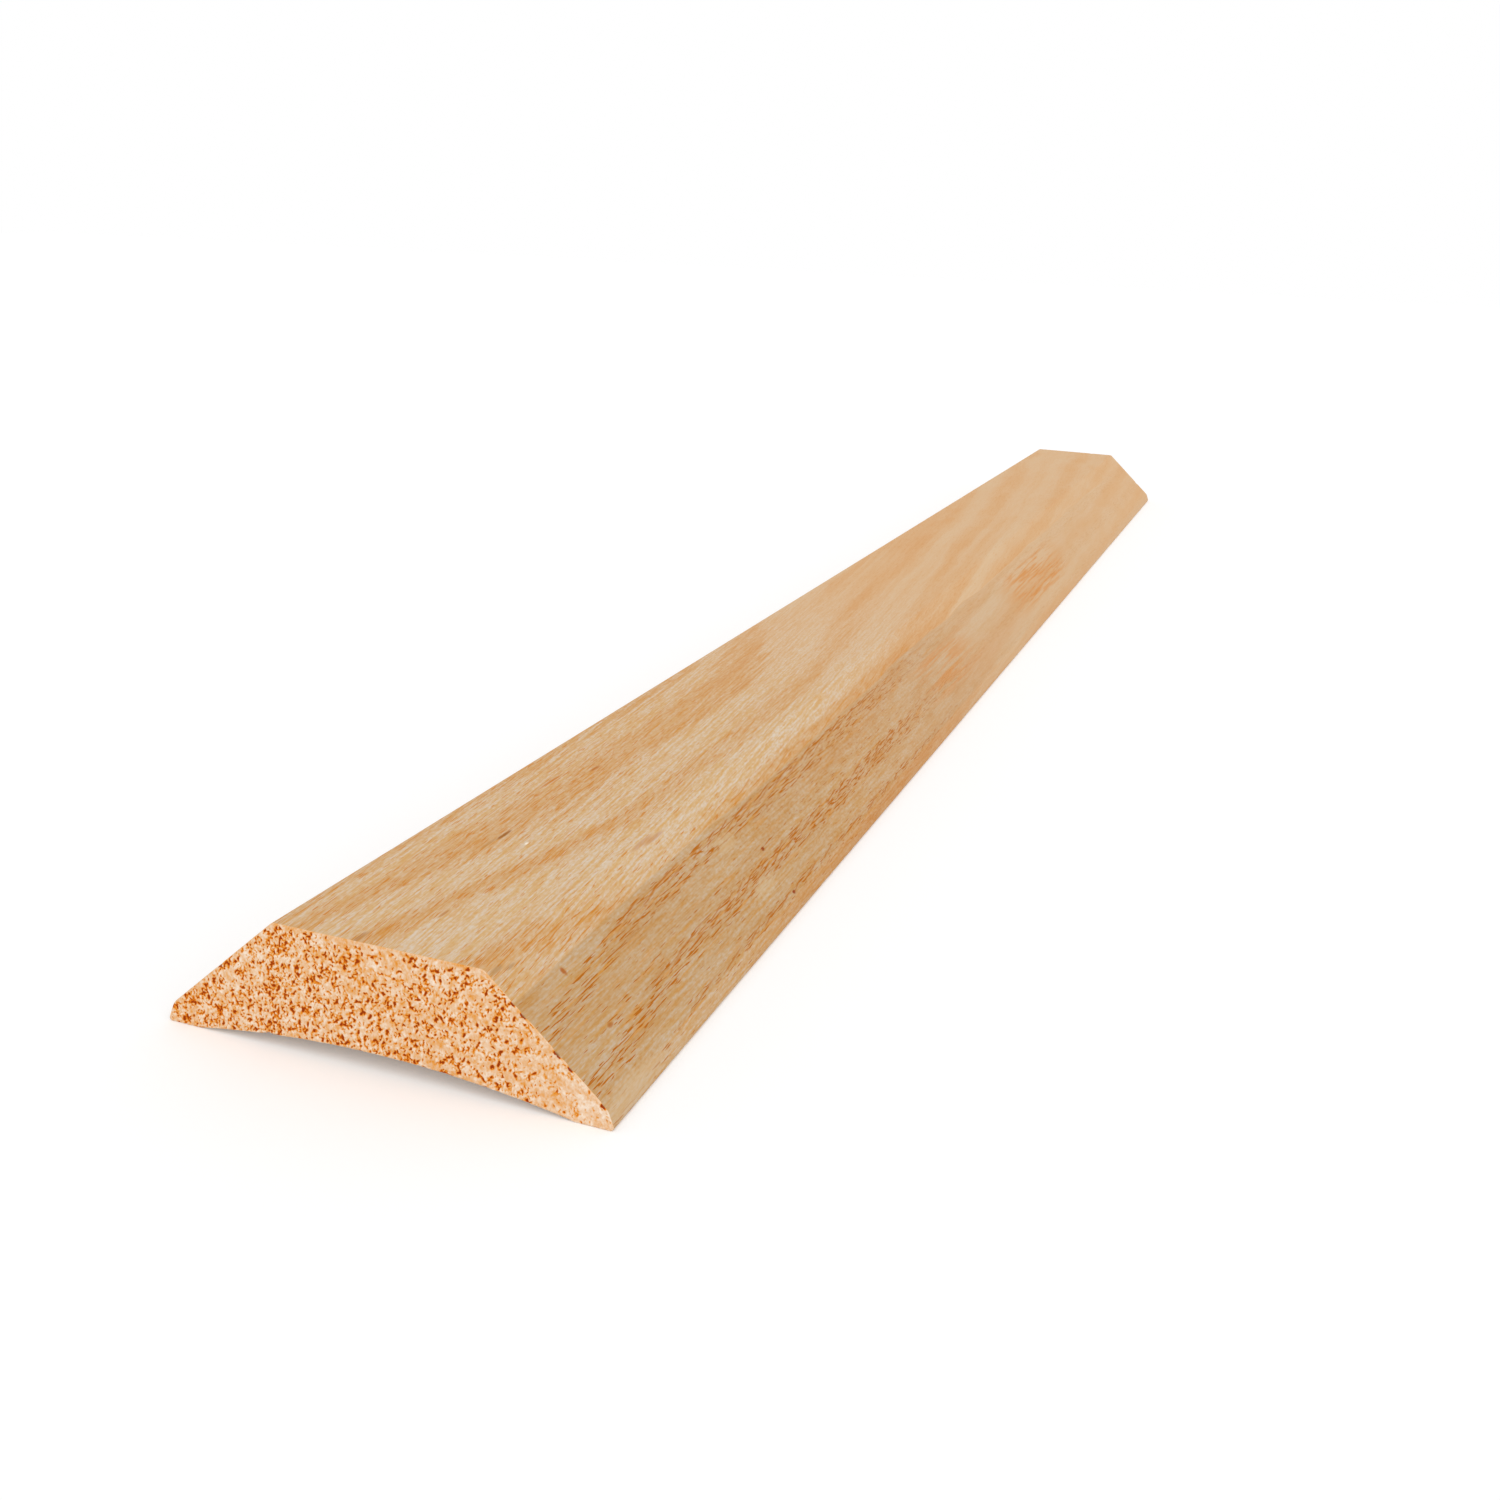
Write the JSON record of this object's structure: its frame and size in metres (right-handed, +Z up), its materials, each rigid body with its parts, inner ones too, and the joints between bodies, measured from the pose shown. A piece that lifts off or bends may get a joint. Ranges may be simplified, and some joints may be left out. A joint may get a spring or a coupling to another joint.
{
  "type": "bumper threshold",
  "caption": "Straight hardwood door threshold strip with a flat tread, two sloping bevels with blunt lips and a shallow hollow back; it bridges the floor under a closed door.",
  "frame": {"origin": "on the floor, under the middle of the strip", "axes": "+X along the strip, +Y across it, +Z up from the floor to the tread"},
  "size_m": [0.9144, 0.1136, 0.031],
  "materials": {
    "hardwood": "planed and unfinished, sawn ends"
  },
  "bodies": {
    "root": {"threshold": "hardwood"}
  },
  "joints": []
}
